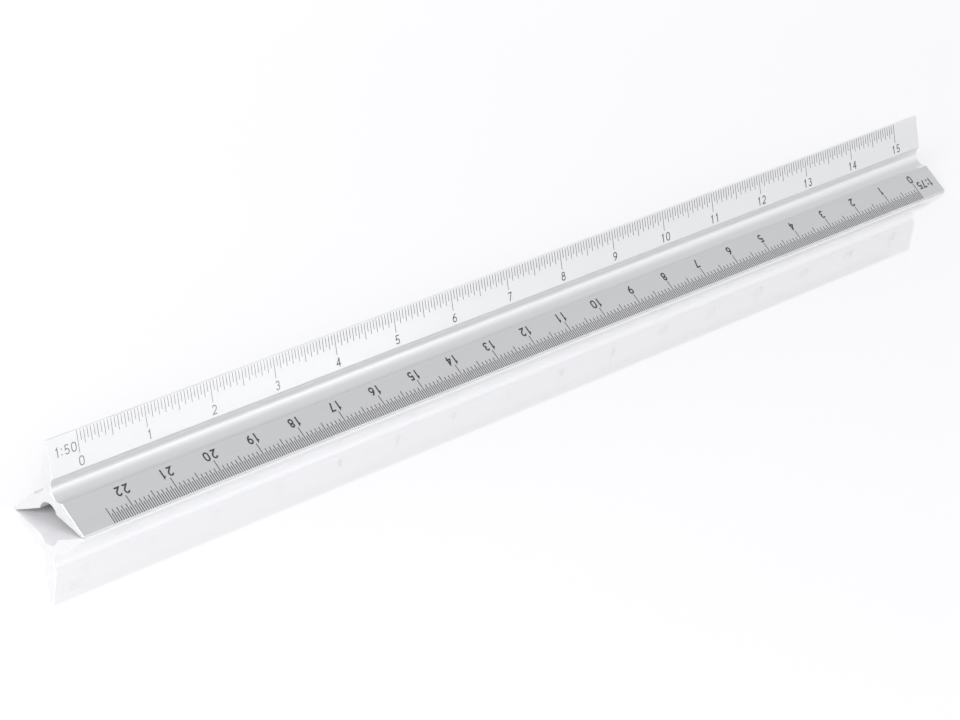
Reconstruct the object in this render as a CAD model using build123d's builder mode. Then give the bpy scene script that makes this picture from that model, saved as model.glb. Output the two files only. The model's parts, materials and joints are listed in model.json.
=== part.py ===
"""Triangular scale ruler: a solid aluminium extrusion printed with six reduction scales.

Millimetres. X runs along the ruler, the front is towards -Y and Z is up. The ruler stands
on its two lower fins at Z = 0, and the origin is on that surface under the ruler's middle.
"""
import math
import os

from build123d import *

# The extrusion: three tapered fins meet at the ruler's axis, with a round groove between
# each two of them
ruler_length = 319.4
fin_reach = 13.07         # from the axis to the flat along a fin's tip
tip_width = 0.6           # width of that flat
tip_radius = 0.12         # its rounded corners
fin_taper = 10.3          # degrees that each face of a fin leans in towards the tip
groove_floor = 1.7        # from the axis to the nearest point of a groove
groove_radius = 2.83
shoulder_radius = 0.25    # where a groove meets a fin's face
fin_directions = {"top": 90, "front": 210, "back": 330}   # degrees from +Y towards +Z

# The printing. Distances from the edge are measured down a fin's face, from its tip
ink_height = 0.03
line_start = 0.18
metre_line_end = 5.3
half_line_end = 4.25
tenth_line_end = 3.5
fine_line_end = 2.6
digit_height = 2.0        # along the middle of the stroke
numeral_spacing = 1.15    # room for each digit, against that in a ratio mark
scale_length = 300        # on the ruler, the same for all six scales

# Each fin is printed in two passes. What depends on the pass, and so on the way that a
# scale reads, towards +X or towards -X:
zero_margin = {+1: 8.7, -1: 9.95}     # from the ruler's end to the scale's zero
line_width = {+1: 0.14, -1: 0.2}
digit_stroke = {+1: 0.26, -1: 0.41}
numeral_shift = {+1: 0.2, -1: 0.0}    # along the scale, from the metre line
numeral_middle = {+1: 7.1, -1: 6.75}
ratio_shift = {+1: -3.8, -1: -4.5}    # along the scale, from its zero
ratio_middle = {+1: 3.5, -1: 4.1}

# Each scale: its ratio, its fin, the way that it reads, and the divisions of a metre
scales = [
    (50, "top", +1, 20),
    (100, "top", -1, 10),
    (20, "front", +1, 50),
    (75, "front", -1, 20),
    (25, "back", +1, 50),
    (125, "back", -1, 10),
]

# The ruler rests on the rounded lower corners of its two lower fins
corner_reach = fin_reach - tip_radius
corner_side = tip_width / 2 - tip_radius * math.tan(math.radians(45 - fin_taper / 2))
axis_height = (
    corner_reach * math.sin(math.radians(30))
    + corner_side * math.cos(math.radians(30))
    + tip_radius
)

os.makedirs("parts", exist_ok=True)


# ---- Extrusion

blade_root = tip_width / 2 + fin_reach * math.tan(math.radians(fin_taper))
left_end = Plane(
    origin=(-ruler_length / 2, 0, axis_height), x_dir=(0, 1, 0), z_dir=(1, 0, 0)
)
with BuildPart() as aluminium_extrusion:
    with BuildSketch(left_end) as section:
        with PolarLocations(0, 3, start_angle=90):
            Polygon(
                (0, -blade_root),
                (fin_reach, -tip_width / 2),
                (fin_reach, tip_width / 2),
                (0, blade_root),
                align=None,
            )
        with PolarLocations(groove_floor + groove_radius, 3, start_angle=30):
            Circle(groove_radius, mode=Mode.SUBTRACT)
        corners = section.vertices().sort_by_distance((0, 0))
        fillet(corners[:6], shoulder_radius)
        corners = section.vertices().sort_by_distance((0, 0))
        fillet(corners[-6:], tip_radius)
    extrude(amount=ruler_length)
aluminium_extrusion.part.label = "aluminium_extrusion"
export_step(aluminium_extrusion.part, "parts/aluminium_extrusion.step")


# ---- Digits, drawn one unit high about their own middle, from straight and round strokes

half_width = 0.31         # of a round digit


def pen(stroke, *points):
    """A stroke in straight runs."""
    with BuildLine() as path:
        Polyline(*points)
    trace(path.line, line_width=stroke)


def bow(stroke, centre, radius, start, turn):
    """A round stroke, from an angle through a turn, both in degrees."""
    with BuildLine() as path:
        CenterArc(centre, radius, start, turn)
    trace(path.line, line_width=stroke)


def ring(stroke, centre, radius):
    """A whole circle, as two half strokes."""
    bow(stroke, centre, radius, 0, 180)
    bow(stroke, centre, radius, 180, 180)


def draw_0(stroke):
    side_end = 0.5 - half_width
    for side in (-1, 1):
        with BuildLine() as path:
            CenterArc((0, side_end), half_width, 90, 90 * side)
            Line((-half_width * side, side_end), (-half_width * side, -side_end))
            CenterArc((0, -side_end), half_width, 90 + 90 * side, 90 * side)
        trace(path.line, line_width=stroke)


def draw_1(stroke):
    pen(stroke, (-0.10, 0.29), (0.11, 0.5), (0.11, -0.5 - stroke / 2))


def draw_2(stroke):
    bow(stroke, (0, 0.22), 0.28, 165, -165)
    with BuildLine() as path:
        TangentArc((0.28, 0.22), (0.11, -0.11), tangent=(0, -1))
        Polyline((0.11, -0.11), (-0.30, -0.5), (0.32, -0.5))
    trace(path.line, line_width=stroke)


def draw_3(stroke):
    bow(stroke, (0, 0.26), 0.24, 155, -245)
    bow(stroke, (0, -0.23), 0.27, 90, -250)


def draw_4(stroke):
    pen(stroke, (0.13, 0.52), (-0.30, -0.22), (0.34, -0.22))
    pen(stroke, (0.13, 0.5 + stroke / 2), (0.13, -0.5 - stroke / 2))


def draw_5(stroke):
    pen(stroke, (0.27, 0.5), (-0.20, 0.5), (-0.24, -0.06))
    bow(stroke, (-0.01, -0.21), 0.29, 140, -290)


def draw_6(stroke):
    ring(stroke, (0, -0.21), 0.29)
    with BuildLine() as path:
        TangentArc((-0.29, -0.21), (0.19, 0.49), tangent=(0, 1))
    trace(path.line, line_width=stroke)


def draw_7(stroke):
    pen(stroke, (-0.30, 0.5), (0.29, 0.5), (-0.07, -0.5 - stroke / 2))


def draw_8(stroke):
    ring(stroke, (0, 0.27), 0.23)
    ring(stroke, (0, -0.22), 0.28)


def draw_9(stroke):
    ring(stroke, (0, 0.21), 0.29)
    with BuildLine() as path:
        TangentArc((0.29, 0.21), (-0.19, -0.49), tangent=(0, -1))
    trace(path.line, line_width=stroke)


def draw_colon(stroke):
    with Locations((0, 0.25), (0, -0.38)):
        Rectangle(1.2 * stroke, 1.2 * stroke)


# Each character: what draws it, and how much room it takes along the line
characters = {
    "0": (draw_0, 1.0),
    "1": (draw_1, 0.85),
    "2": (draw_2, 1.0),
    "3": (draw_3, 1.0),
    "4": (draw_4, 1.0),
    "5": (draw_5, 1.0),
    "6": (draw_6, 1.0),
    "7": (draw_7, 1.0),
    "8": (draw_8, 1.0),
    "9": (draw_9, 1.0),
    ":": (draw_colon, 0.55),
}
glyphs = {}
for reads, stroke_width in digit_stroke.items():
    for character, (draw, room) in characters.items():
        with BuildSketch() as glyph:
            draw(stroke_width / digit_height)
            scale(by=digit_height)
        glyphs[reads, character] = glyph.sketch


def write(text, middle, reads, spacing=1.0):
    """Set a line of text about a point of the sketch."""
    rooms = [characters[character][1] * digit_height * spacing for character in text]
    start = middle[0] - sum(rooms) / 2
    for character, room in zip(text, rooms):
        with Locations((start + room / 2, middle[1])):
            add(glyphs[reads, character])
        start += room


# ---- Scales


def face_plane(fin, reads):
    """A fin's face, from the scale's zero on its edge: x along the scale, y towards the tip."""
    direction = math.radians(fin_directions[fin])
    along = Vector(0, math.cos(direction), math.sin(direction))
    across = Vector(0, -along.Z, along.Y) * reads
    lean = math.radians(fin_taper)
    edge = Vector(0, 0, axis_height) + along * fin_reach + across * (tip_width / 2)
    zero = Vector(reads * (zero_margin[reads] - ruler_length / 2), 0, 0)
    return Plane(
        origin=edge + zero,
        x_dir=(reads, 0, 0),
        z_dir=along * math.sin(lean) + across * math.cos(lean),
    )


def rule(places, end, width):
    """Lines of one length at places along the scale."""
    if places:
        with Locations(*[(place, -line_start) for place in places]):
            Rectangle(width, end - line_start, align=(Align.CENTER, Align.MAX))


for ratio, fin, reads, divisions in scales:
    metre = 1000 / ratio
    pitch = metre / divisions
    count = round(scale_length / pitch)
    plane = face_plane(fin, reads)
    steps = range(count + 1)
    metres = [i for i in steps if i % divisions == 0]
    halves = [i for i in steps if 2 * i % divisions == 0 and i not in metres]
    tenths = [i for i in steps if 10 * i % divisions == 0 and i not in metres + halves]
    others = [i for i in steps if 10 * i % divisions]

    with BuildPart() as metre_lines:
        with BuildSketch(plane):
            rule([i * pitch for i in metres], metre_line_end, line_width[reads])
        extrude(amount=ink_height)
    metre_lines.part.label = f"scale_1_{ratio}_metre_lines"
    export_step(metre_lines.part, f"parts/{metre_lines.part.label}.step")

    with BuildPart() as division_lines:
        with BuildSketch(plane):
            rule([i * pitch for i in halves], half_line_end, line_width[reads])
            rule([i * pitch for i in tenths], tenth_line_end, line_width[reads])
            rule([i * pitch for i in others], fine_line_end, line_width[reads])
        extrude(amount=ink_height)
    division_lines.part.label = f"scale_1_{ratio}_division_lines"
    export_step(division_lines.part, f"parts/{division_lines.part.label}.step")

    with BuildPart() as numerals:
        with BuildSketch(plane):
            for number in range(len(metres)):
                place = number * metre + numeral_shift[reads]
                write(str(number), (place, -numeral_middle[reads]), reads, numeral_spacing)
        extrude(amount=ink_height)
    numerals.part.label = f"scale_1_{ratio}_numerals"
    export_step(numerals.part, f"parts/{numerals.part.label}.step")

    with BuildPart() as ratio_mark:
        with BuildSketch(plane):
            write(f"1:{ratio}", (ratio_shift[reads], -ratio_middle[reads]), reads)
        extrude(amount=ink_height)
    ratio_mark.part.label = f"scale_1_{ratio}_ratio_mark"
    export_step(ratio_mark.part, f"parts/{ratio_mark.part.label}.step")
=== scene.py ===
"""Looks of the triangular scale ruler: satin anodised extrusion, printed scales, studio."""
import json
import math

import bmesh
import bpy
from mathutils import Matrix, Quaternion, Vector


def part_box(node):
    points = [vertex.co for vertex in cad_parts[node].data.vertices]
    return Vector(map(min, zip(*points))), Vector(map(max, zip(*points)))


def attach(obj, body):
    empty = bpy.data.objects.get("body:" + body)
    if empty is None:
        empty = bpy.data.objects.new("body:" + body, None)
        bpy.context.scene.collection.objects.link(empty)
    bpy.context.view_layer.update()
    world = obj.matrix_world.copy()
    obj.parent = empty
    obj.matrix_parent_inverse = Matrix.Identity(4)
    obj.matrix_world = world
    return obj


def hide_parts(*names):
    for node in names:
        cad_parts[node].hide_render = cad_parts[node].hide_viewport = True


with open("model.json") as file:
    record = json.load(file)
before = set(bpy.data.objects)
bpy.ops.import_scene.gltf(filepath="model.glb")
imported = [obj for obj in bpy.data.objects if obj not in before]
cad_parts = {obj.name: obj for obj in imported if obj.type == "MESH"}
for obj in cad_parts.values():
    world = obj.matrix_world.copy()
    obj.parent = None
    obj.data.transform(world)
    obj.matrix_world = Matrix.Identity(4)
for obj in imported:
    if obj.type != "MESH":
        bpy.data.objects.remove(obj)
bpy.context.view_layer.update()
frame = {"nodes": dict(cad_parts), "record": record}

MM = 0.001

# The extrusion's section, as the CAD has it
FIN_REACH = 13.07 * MM        # from the axis to the flat along a fin's tip
TIP_HALF = 0.3 * MM           # half the width of that flat
TIP_RADIUS = 0.12 * MM
FIN_TAPER = math.radians(10.3)
GROOVE_FLOOR = 1.7 * MM       # from the axis to the nearest point of a groove
GROOVE_RADIUS = 2.83 * MM
SHOULDER_RADIUS = 0.25 * MM
END_CHAMFER = 0.06 * MM       # broken edge around both sawn ends
# The ruler rests on the rounded lower corners of its two lower fins
AXIS_HEIGHT = (
    (FIN_REACH - TIP_RADIUS) * math.sin(math.radians(30))
    + (TIP_HALF - TIP_RADIUS * math.tan(math.radians(45) - FIN_TAPER / 2))
    * math.cos(math.radians(30))
    + TIP_RADIUS
)

# Mesh fineness
TIP_STEPS = 5
SHOULDER_STEPS = 6
GROOVE_STEPS = 20             # over half a groove
SUPPORT = 0.12 * MM           # extra points this far inside each flat keep its shading flat
LENGTH_STEPS = 16
END_NORMAL = 0.9              # faces that point this far along X are the sawn ends

# The top fin's print is painted lighter near the ruler's left end, a painted glare of the low
# light on it: where along X, and above which height a print belongs to that fin
GLARE_FROM, GLARE_FULLY = -72 * MM, -92 * MM
TOP_FIN_FROM, TOP_FIN_FULLY = 9 * MM, 10 * MM

# The camera
CAMERA_AIM = Vector((-0.01986, 0.0, -0.00172))
CAMERA_AZIMUTH = math.radians(-47.70)
CAMERA_ELEVATION = math.radians(21.64)
CAMERA_ROLL = math.radians(0.40)
CAMERA_DISTANCE = 0.8684
CAMERA_LENS = 132.3

# The light of the surroundings: how it falls towards the ruler's ends, and the most it has
WORLD_STRENGTH = 1.92
WORLD_TOWARDS_ENDS = -0.92
WORLD_MOST = 1.38
# Its colour by height, as the upward part of a direction
WORLD_COLOURS = [
    (0.0, (1.0, 1.0, 1.0)),
    (0.30, (0.86, 0.86, 0.865)),
    (0.62, (0.61, 0.61, 0.615)),
]
# A grey patch of it behind the ruler's left end: where, how wide as cosines, and how grey
PATCH_DIRECTION = (-0.69, 0.63, 0.37)
PATCH_EDGE, PATCH_CORE = 0.70, 0.95
PATCH_SHADE = 0.45

FLOOR_REACH = 6.0
FLOOR_GAP = 0.02 * MM         # the floor lies this far under the ruler

# The clear film over the metal and the print
FILM_ROUGHNESS = 0.14
FILM_IOR = 1.6

# Colours; where a surface has two, the darker one comes first
ACRYLIC_WHITE = (0.80, 0.80, 0.822)
FACE_COLOURS = (0.655, 0.660, 0.668), (0.690, 0.694, 0.702)
# The grooves' paler colour is a painted highlight on the same metal as the faces
GROOVE_HIGHLIGHT_COLOURS = (0.740, 0.745, 0.753), (0.780, 0.784, 0.791)
WORN_METAL = (0.81, 0.815, 0.82)
SAWN_COLOURS = (0.84, 0.84, 0.845), (0.92, 0.92, 0.925)
INK_COLOURS = (0.006, 0.006, 0.007), (0.018, 0.018, 0.020)
# The paler grey of the print where painted glare stands in for the low light reflecting off it
INK_GLARE_COLOUR = (0.17, 0.17, 0.175)

# Distances from the axis where the grooves' paler painted highlight gives way to the face's
# colour, and depths under a fin's tip where its wear begins and is full
FACE_FROM, FACE_FULLY = 4.3 * MM, 4.9 * MM
WEAR_BEGINS, WEAR_FULLY = 0.25 * MM, 0.05 * MM

SURFACE_RELIEF = 0.02 * MM    # height of the bumps in the metal
SAW_CENTRE_Y, SAW_CENTRE_Z = 90 * MM, 60 * MM   # of the curved saw marks


# ---- Shader nodes


def principled(name):
    material = bpy.data.materials.new(name)
    material.use_nodes = True
    tree = material.node_tree
    return material, tree.nodes, tree.links, tree.nodes["Principled BSDF"]


def noise(nodes, links, source, frequency, detail=3.0):
    """Noise over the object's own coordinates, with its frequency along each axis, per metre."""
    mapping = nodes.new("ShaderNodeMapping")
    mapping.inputs["Scale"].default_value = frequency
    links.new(source, mapping.inputs["Vector"])
    texture = nodes.new("ShaderNodeTexNoise")
    texture.inputs["Scale"].default_value = 1.0
    texture.inputs["Detail"].default_value = detail
    links.new(mapping.outputs["Vector"], texture.inputs["Vector"])
    return texture.outputs["Fac"]


def spread(nodes, links, source, low, high):
    """The middle of a noise's range spread from low to high."""
    node = nodes.new("ShaderNodeMapRange")
    node.inputs["From Min"].default_value = 0.3
    node.inputs["From Max"].default_value = 0.7
    node.inputs["To Min"].default_value = low
    node.inputs["To Max"].default_value = high
    links.new(source, node.inputs["Value"])
    return node.outputs["Result"]


def blend_colours(nodes, links, factor, first, second):
    """From the first colour to the second; either may be a socket."""
    mix = nodes.new("ShaderNodeMix")
    mix.data_type = "RGBA"
    links.new(factor, mix.inputs[0])
    for socket, colour in ((mix.inputs[6], first), (mix.inputs[7], second)):
        if isinstance(colour, tuple):
            socket.default_value = (*colour, 1)
        else:
            links.new(colour, socket)
    return mix.outputs[2]


def calculate(nodes, links, operation, *values):
    """One sum on sockets and numbers."""
    node = nodes.new("ShaderNodeMath")
    node.operation = operation
    for socket, value in zip(node.inputs, values):
        if isinstance(value, (int, float)):
            socket.default_value = value
        else:
            links.new(value, socket)
    return node.outputs[0]


def ramp_between(nodes, links, source, start, end):
    """0 where the source is at the start, 1 where it is at the end."""
    node = nodes.new("ShaderNodeMapRange")
    node.inputs["From Min"].default_value = start
    node.inputs["From Max"].default_value = end
    links.new(source, node.inputs["Value"])
    return node.outputs["Result"]


# ---- Camera, light and floor


def direction(azimuth, elevation):
    """From the ruler, with azimuth 0 towards -Y and 90 degrees towards +X."""
    level = math.cos(elevation)
    return Vector((math.sin(azimuth) * level, -math.cos(azimuth) * level, math.sin(elevation)))


def make_camera():
    data = bpy.data.cameras.new("camera")
    data.lens = CAMERA_LENS
    data.sensor_width = 36.0
    data.clip_start = 0.01
    data.clip_end = 20.0
    camera = bpy.data.objects.new("camera", data)
    bpy.context.scene.collection.objects.link(camera)
    back = direction(CAMERA_AZIMUTH, CAMERA_ELEVATION)
    camera.location = CAMERA_AIM + back * CAMERA_DISTANCE
    camera.rotation_mode = "QUATERNION"
    upright = (-back).to_track_quat("-Z", "Y")
    camera.rotation_quaternion = upright @ Quaternion((0, 0, 1), CAMERA_ROLL)
    bpy.context.scene.camera = camera


def softbox(name, azimuth, elevation, distance, width, height, power):
    """A rectangular light facing the ruler; angles in degrees, as a direction has them."""
    data = bpy.data.lights.new(name, "AREA")
    data.shape = "RECTANGLE"
    data.size = width
    data.size_y = height
    data.energy = power
    light = bpy.data.objects.new(name, data)
    bpy.context.scene.collection.objects.link(light)
    away = direction(math.radians(azimuth), math.radians(elevation))
    light.location = away * distance
    light.rotation_euler = (-away).to_track_quat("-Z", "Y").to_euler()


def make_world():
    """A pale tent: bright near the horizon, greyer overhead and towards the ruler's ends."""
    world = bpy.data.worlds.new("studio")
    bpy.context.scene.world = world
    world.use_nodes = True
    nodes, links = world.node_tree.nodes, world.node_tree.links
    nodes.clear()
    coords = nodes.new("ShaderNodeTexCoord")
    split = nodes.new("ShaderNodeSeparateXYZ")
    links.new(coords.outputs["Generated"], split.inputs[0])
    patch = nodes.new("ShaderNodeVectorMath")
    patch.operation = "DOT_PRODUCT"
    patch.inputs[1].default_value = PATCH_DIRECTION
    links.new(coords.outputs["Generated"], patch.inputs[0])
    grey = ramp_between(nodes, links, patch.outputs["Value"], PATCH_EDGE, PATCH_CORE)
    grey = calculate(nodes, links, "MULTIPLY_ADD", grey, PATCH_SHADE - 1, 1)
    ramp = nodes.new("ShaderNodeValToRGB")
    links.new(split.outputs["Z"], ramp.inputs["Fac"])
    stops = ramp.color_ramp.elements
    stops.new(WORLD_COLOURS[1][0])
    for stop, (height, colour) in zip(stops, WORLD_COLOURS):
        stop.position = height
        stop.color = (*colour, 1)
    endwards = calculate(nodes, links, "ABSOLUTE", split.outputs["X"])
    strength = calculate(
        nodes, links, "MULTIPLY_ADD", endwards, WORLD_TOWARDS_ENDS, WORLD_STRENGTH
    )
    strength = calculate(nodes, links, "MINIMUM", strength, WORLD_MOST)
    strength = calculate(nodes, links, "MULTIPLY", strength, grey)
    background = nodes.new("ShaderNodeBackground")
    links.new(ramp.outputs["Color"], background.inputs["Color"])
    links.new(strength, background.inputs["Strength"])
    output = nodes.new("ShaderNodeOutputWorld")
    links.new(background.outputs[0], output.inputs["Surface"])


def make_floor():
    mesh = bpy.data.meshes.new("floor")
    corners = [(-1, -1, 0), (1, -1, 0), (1, 1, 0), (-1, 1, 0)]
    mesh.from_pydata([FLOOR_REACH * Vector(corner) for corner in corners], [], [(0, 1, 2, 3)])
    floor = bpy.data.objects.new("floor", mesh)
    bpy.context.scene.collection.objects.link(floor)
    floor.location.z = -FLOOR_GAP
    material, *_, shader = principled("white_acrylic")
    shader.inputs["Base Color"].default_value = (*ACRYLIC_WHITE, 1)
    shader.inputs["Roughness"].default_value = 0.06
    shader.inputs["IOR"].default_value = 1.6
    shader.inputs["Coat Weight"].default_value = 1.0
    shader.inputs["Coat Roughness"].default_value = 0.02
    shader.inputs["Coat IOR"].default_value = 1.6
    mesh.materials.append(material)


# ---- Materials


def distance_from_axis(nodes, links, place):
    """How far a point of the section is from the ruler's axis, in metres."""
    across = nodes.new("ShaderNodeVectorMath")
    across.operation = "MULTIPLY_ADD"
    across.inputs[1].default_value = (0, 1, 1)
    across.inputs[2].default_value = (0, 0, -AXIS_HEIGHT)
    links.new(place, across.inputs[0])
    length = nodes.new("ShaderNodeVectorMath")
    length.operation = "LENGTH"
    links.new(across.outputs["Vector"], length.inputs[0])
    return length.outputs["Value"]


def add_film(shader):
    """The clear anodised film, which covers the print too."""
    shader.inputs["Coat Weight"].default_value = 1.0
    shader.inputs["Coat Roughness"].default_value = FILM_ROUGHNESS
    shader.inputs["Coat IOR"].default_value = FILM_IOR


def add_bump(nodes, links, shader, height, strength):
    bump = nodes.new("ShaderNodeBump")
    bump.inputs["Strength"].default_value = strength
    bump.inputs["Distance"].default_value = SURFACE_RELIEF
    links.new(height, bump.inputs["Height"])
    links.new(bump.outputs["Normal"], shader.inputs["Normal"])


def make_aluminium():
    """Satin clear anodising: fine lines along the faces, grooves painted paler as a painted
    highlight, bright worn tips.
    """
    material, nodes, links, shader = principled("anodised_aluminium")
    place = nodes.new("ShaderNodeTexCoord").outputs["Object"]
    lines = noise(nodes, links, place, (3, 5200, 5200), detail=4.0)
    grain = noise(nodes, links, place, (9000, 9000, 9000), detail=2.0)
    clouds = noise(nodes, links, place, (14, 60, 60), detail=2.0)
    rubbing = noise(nodes, links, place, (70, 400, 400))

    radius = distance_from_axis(nodes, links, place)
    on_face = ramp_between(nodes, links, radius, FACE_FROM, FACE_FULLY)
    on_tip = ramp_between(
        nodes, links, radius, FIN_REACH - WEAR_BEGINS, FIN_REACH - WEAR_FULLY
    )
    worn = calculate(nodes, links, "MULTIPLY", on_tip, spread(nodes, links, rubbing, 0.35, 1.0))

    streaks = spread(nodes, links, lines, 0.0, 1.0)
    face = blend_colours(nodes, links, streaks, *FACE_COLOURS)
    # Painted highlight: the grooves take a paler copy of the face's colour, so that they look
    # brighter
    groove = blend_colours(nodes, links, streaks, *GROOVE_HIGHLIGHT_COLOURS)
    satin = blend_colours(nodes, links, on_face, groove, face)
    metal = blend_colours(nodes, links, worn, satin, WORN_METAL)
    links.new(metal, shader.inputs["Base Color"])
    shader.inputs["Metallic"].default_value = 1.0

    # Roughest in the grooves, smoother on the faces and smoothest where a tip is worn
    rough = spread(nodes, links, lines, 0.40, 0.47)
    rough = calculate(nodes, links, "ADD", rough, spread(nodes, links, clouds, -0.015, 0.025))
    rough = calculate(nodes, links, "MULTIPLY_ADD", on_face, -0.06, rough)
    rough = calculate(nodes, links, "MULTIPLY_ADD", worn, -0.08, rough)
    links.new(rough, shader.inputs["Roughness"])
    add_film(shader)

    relief = calculate(nodes, links, "MULTIPLY_ADD", grain, 0.35, lines)
    add_bump(nodes, links, shader, relief, 0.12)
    return material


def make_sawn_end():
    """Bare bright metal with the curved marks of the saw."""
    material, nodes, links, shader = principled("sawn_end")
    place = nodes.new("ShaderNodeTexCoord").outputs["Object"]
    saw = nodes.new("ShaderNodeMapping")
    saw.inputs["Location"].default_value = (0, -SAW_CENTRE_Y, -SAW_CENTRE_Z)
    saw.inputs["Scale"].default_value = (0, 1, 1)
    links.new(place, saw.inputs["Vector"])
    marks = nodes.new("ShaderNodeTexWave")
    marks.wave_type = "RINGS"
    marks.rings_direction = "SPHERICAL"
    marks.inputs["Scale"].default_value = 700
    marks.inputs["Distortion"].default_value = 3.0
    marks.inputs["Detail"].default_value = 3.0
    marks.inputs["Detail Scale"].default_value = 0.4
    links.new(saw.outputs["Vector"], marks.inputs["Vector"])
    speckle = noise(nodes, links, place, (4000, 4000, 4000))

    tint = calculate(nodes, links, "MULTIPLY_ADD", marks.outputs["Fac"], 0.6, speckle)
    tint = calculate(nodes, links, "SUBTRACT", tint, 0.3)
    links.new(blend_colours(nodes, links, tint, *SAWN_COLOURS), shader.inputs["Base Color"])
    shader.inputs["Metallic"].default_value = 1.0
    links.new(spread(nodes, links, speckle, 0.42, 0.56), shader.inputs["Roughness"])
    add_bump(nodes, links, shader, marks.outputs["Fac"], 0.25)
    return material


def make_ink():
    """Black print under the same clear film as the metal, painted lighter at one end of the top
    fin as painted glare.
    """
    material, nodes, links, shader = principled("black_ink")
    place = nodes.new("ShaderNodeTexCoord").outputs["Object"]
    speckle = noise(nodes, links, place, (7000, 7000, 7000))
    thin = spread(nodes, links, speckle, 0.0, 1.0)
    ink = blend_colours(nodes, links, thin, *INK_COLOURS)
    axes = nodes.new("ShaderNodeSeparateXYZ")
    links.new(place, axes.inputs[0])
    # Painted glare: the top fin's print turns lighter towards the ruler's left end, where the low
    # light reflects
    painted_glare = ramp_between(nodes, links, axes.outputs["X"], GLARE_FROM, GLARE_FULLY)
    on_top_fin = ramp_between(nodes, links, axes.outputs["Z"], TOP_FIN_FROM, TOP_FIN_FULLY)
    patchy = spread(nodes, links, speckle, 0.6, 1.0)
    painted_glare = calculate(nodes, links, "MULTIPLY", painted_glare, on_top_fin)
    painted_glare = calculate(nodes, links, "MULTIPLY", painted_glare, patchy)
    print_colour = blend_colours(nodes, links, painted_glare, ink, INK_GLARE_COLOUR)
    links.new(print_colour, shader.inputs["Base Color"])
    links.new(spread(nodes, links, speckle, 0.30, 0.45), shader.inputs["Roughness"])
    shader.inputs["Specular IOR Level"].default_value = 0.15
    add_film(shader)
    return material


# ---- The extrusion


def arc(centre, radius, start, end, steps):
    """Points on a circle from one angle to another, both included."""
    angles = [start + (end - start) * i / steps for i in range(steps + 1)]
    return [centre + radius * Vector((math.cos(a), math.sin(a))) for a in angles]


def angle_of(vector):
    return math.atan2(vector.y, vector.x)


def half_groove_side():
    """The outline from the middle of a tip flat to the middle of the groove beside it.

    The first axis runs along the fin from the ruler's axis, the second across it.
    """
    normal = Vector((math.sin(FIN_TAPER), math.cos(FIN_TAPER)))
    inward = Vector((-math.cos(FIN_TAPER), math.sin(FIN_TAPER)))
    corner = Vector((FIN_REACH, TIP_HALF))
    corner_inset = TIP_RADIUS * math.tan(math.radians(45) - FIN_TAPER / 2)
    tip_centre = corner - Vector((TIP_RADIUS, corner_inset))
    tip = arc(tip_centre, TIP_RADIUS, 0, angle_of(normal), TIP_STEPS)

    groove_direction = math.radians(60)
    toward_groove = Vector((math.cos(groove_direction), math.sin(groove_direction)))
    groove_centre = (GROOVE_FLOOR + GROOVE_RADIUS) * toward_groove
    # The shoulder's rounding touches the face from inside and the groove from outside
    start = corner - SHOULDER_RADIUS * normal
    offset = start - groove_centre
    reach = GROOVE_RADIUS + SHOULDER_RADIUS
    along = offset.dot(inward)
    run = -along - math.sqrt(along * along - offset.length_squared + reach * reach)
    shoulder_centre = start + run * inward
    to_groove = groove_centre - shoulder_centre
    shoulder = arc(
        shoulder_centre, SHOULDER_RADIUS, angle_of(normal), angle_of(to_groove), SHOULDER_STEPS
    )
    groove_start = angle_of(-to_groove) % math.tau
    groove_end = groove_direction + math.pi
    groove = arc(groove_centre, GROOVE_RADIUS, groove_start, groove_end, GROOVE_STEPS)

    middle = Vector((FIN_REACH, 0))
    supports = [tip[-1] + SUPPORT * inward, shoulder[0] - SUPPORT * inward]
    return [middle] + tip + supports + shoulder + groove[1:]


def turned(point, angle):
    c, s = math.cos(angle), math.sin(angle)
    return Vector((point.x * c - point.y * s, point.x * s + point.y * c))


def section_outline():
    """The whole outline about the ruler's axis, anticlockwise seen from +X, as (Y, Z)."""
    half = half_groove_side()
    far = [turned(Vector((p.x, -p.y)), math.radians(120)) for p in reversed(half)]
    third = half + far[1:-1]
    return [turned(p, math.radians(90 + 120 * k)) for k in range(3) for p in third]


def outward_normals(outline):
    normals = []
    for i, point in enumerate(outline):
        along = outline[(i + 1) % len(outline)] - outline[i - 1]
        normals.append(Vector((along.y, -along.x)).normalized())
    return normals


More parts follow.
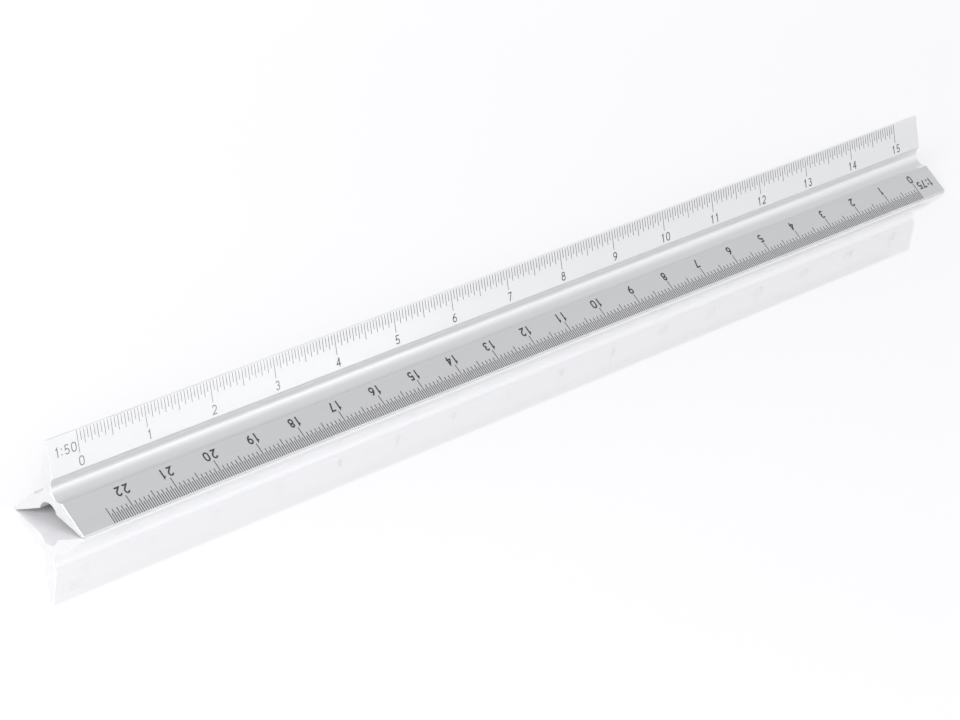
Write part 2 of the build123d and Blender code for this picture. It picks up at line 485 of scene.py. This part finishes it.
def make_extrusion(satin, sawn):
    low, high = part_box("aluminium_extrusion")
    axis_height = low.z + AXIS_HEIGHT
    outline = section_outline()
    inset = [p - END_CHAMFER * n for p, n in zip(outline, outward_normals(outline))]
    full_low, full_high = low.x + END_CHAMFER, high.x - END_CHAMFER
    stations = [(low.x, inset), (full_low, outline), (full_low + SUPPORT, outline)]
    run = (full_high - full_low) / LENGTH_STEPS
    stations += [(full_low + run * k, outline) for k in range(1, LENGTH_STEPS)]
    stations += [(full_high - SUPPORT, outline), (full_high, outline), (high.x, inset)]

    bm = bmesh.new()
    rings = [
        [bm.verts.new((x, p.x, axis_height + p.y)) for p in points] for x, points in stations
    ]
    count = len(outline)
    for near, far in zip(rings, rings[1:]):
        for i in range(count):
            j = (i + 1) % count
            bm.faces.new((near[i], near[j], far[j], far[i]))
    bm.faces.new(list(reversed(rings[0])))
    bm.faces.new(rings[-1])
    bmesh.ops.recalc_face_normals(bm, faces=bm.faces)
    for face in bm.faces:
        face.smooth = len(face.verts) == 4
    for ring in (rings[0], rings[1], rings[-2], rings[-1]):
        for i in range(count):
            bm.edges.get((ring[i], ring[(i + 1) % count])).smooth = False
    bmesh.ops.triangulate(bm, faces=[f for f in bm.faces if len(f.verts) > 4])
    mesh = bpy.data.meshes.new("extrusion_body")
    bm.to_mesh(mesh)
    bm.free()
    mesh.materials.append(satin)
    mesh.materials.append(sawn)
    for polygon in mesh.polygons:
        if abs(polygon.normal.x) > END_NORMAL:
            polygon.material_index = 1
    body = bpy.data.objects.new("extrusion_body", mesh)
    bpy.context.scene.collection.objects.link(body)
    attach(body, "root")
    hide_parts("aluminium_extrusion")


# ---- The printing


def finish_printing(material):
    """Every printed node keeps its CAD shape and takes the ink."""
    for subpart in frame["record"]["subparts"]:
        if subpart["material_slot"] == "black_ink":
            mesh = frame["nodes"][subpart["node"]].data
            mesh.materials.clear()
            mesh.materials.append(material)


# ---- The scene


make_camera()
make_world()
make_floor()
softbox(
    "low_front_light",
    azimuth=37.5, elevation=6.8, distance=2.5, width=0.50, height=0.20, power=0.74,
)
softbox("left_light", azimuth=-125, elevation=8, distance=1.5, width=0.9, height=0.4, power=2.8)
softbox("fill_light", azimuth=-55, elevation=27, distance=2.4, width=1.6, height=0.96, power=49.0)
bpy.context.scene.view_settings.view_transform = "Standard"
make_extrusion(make_aluminium(), make_sawn_end())
finish_printing(make_ink())
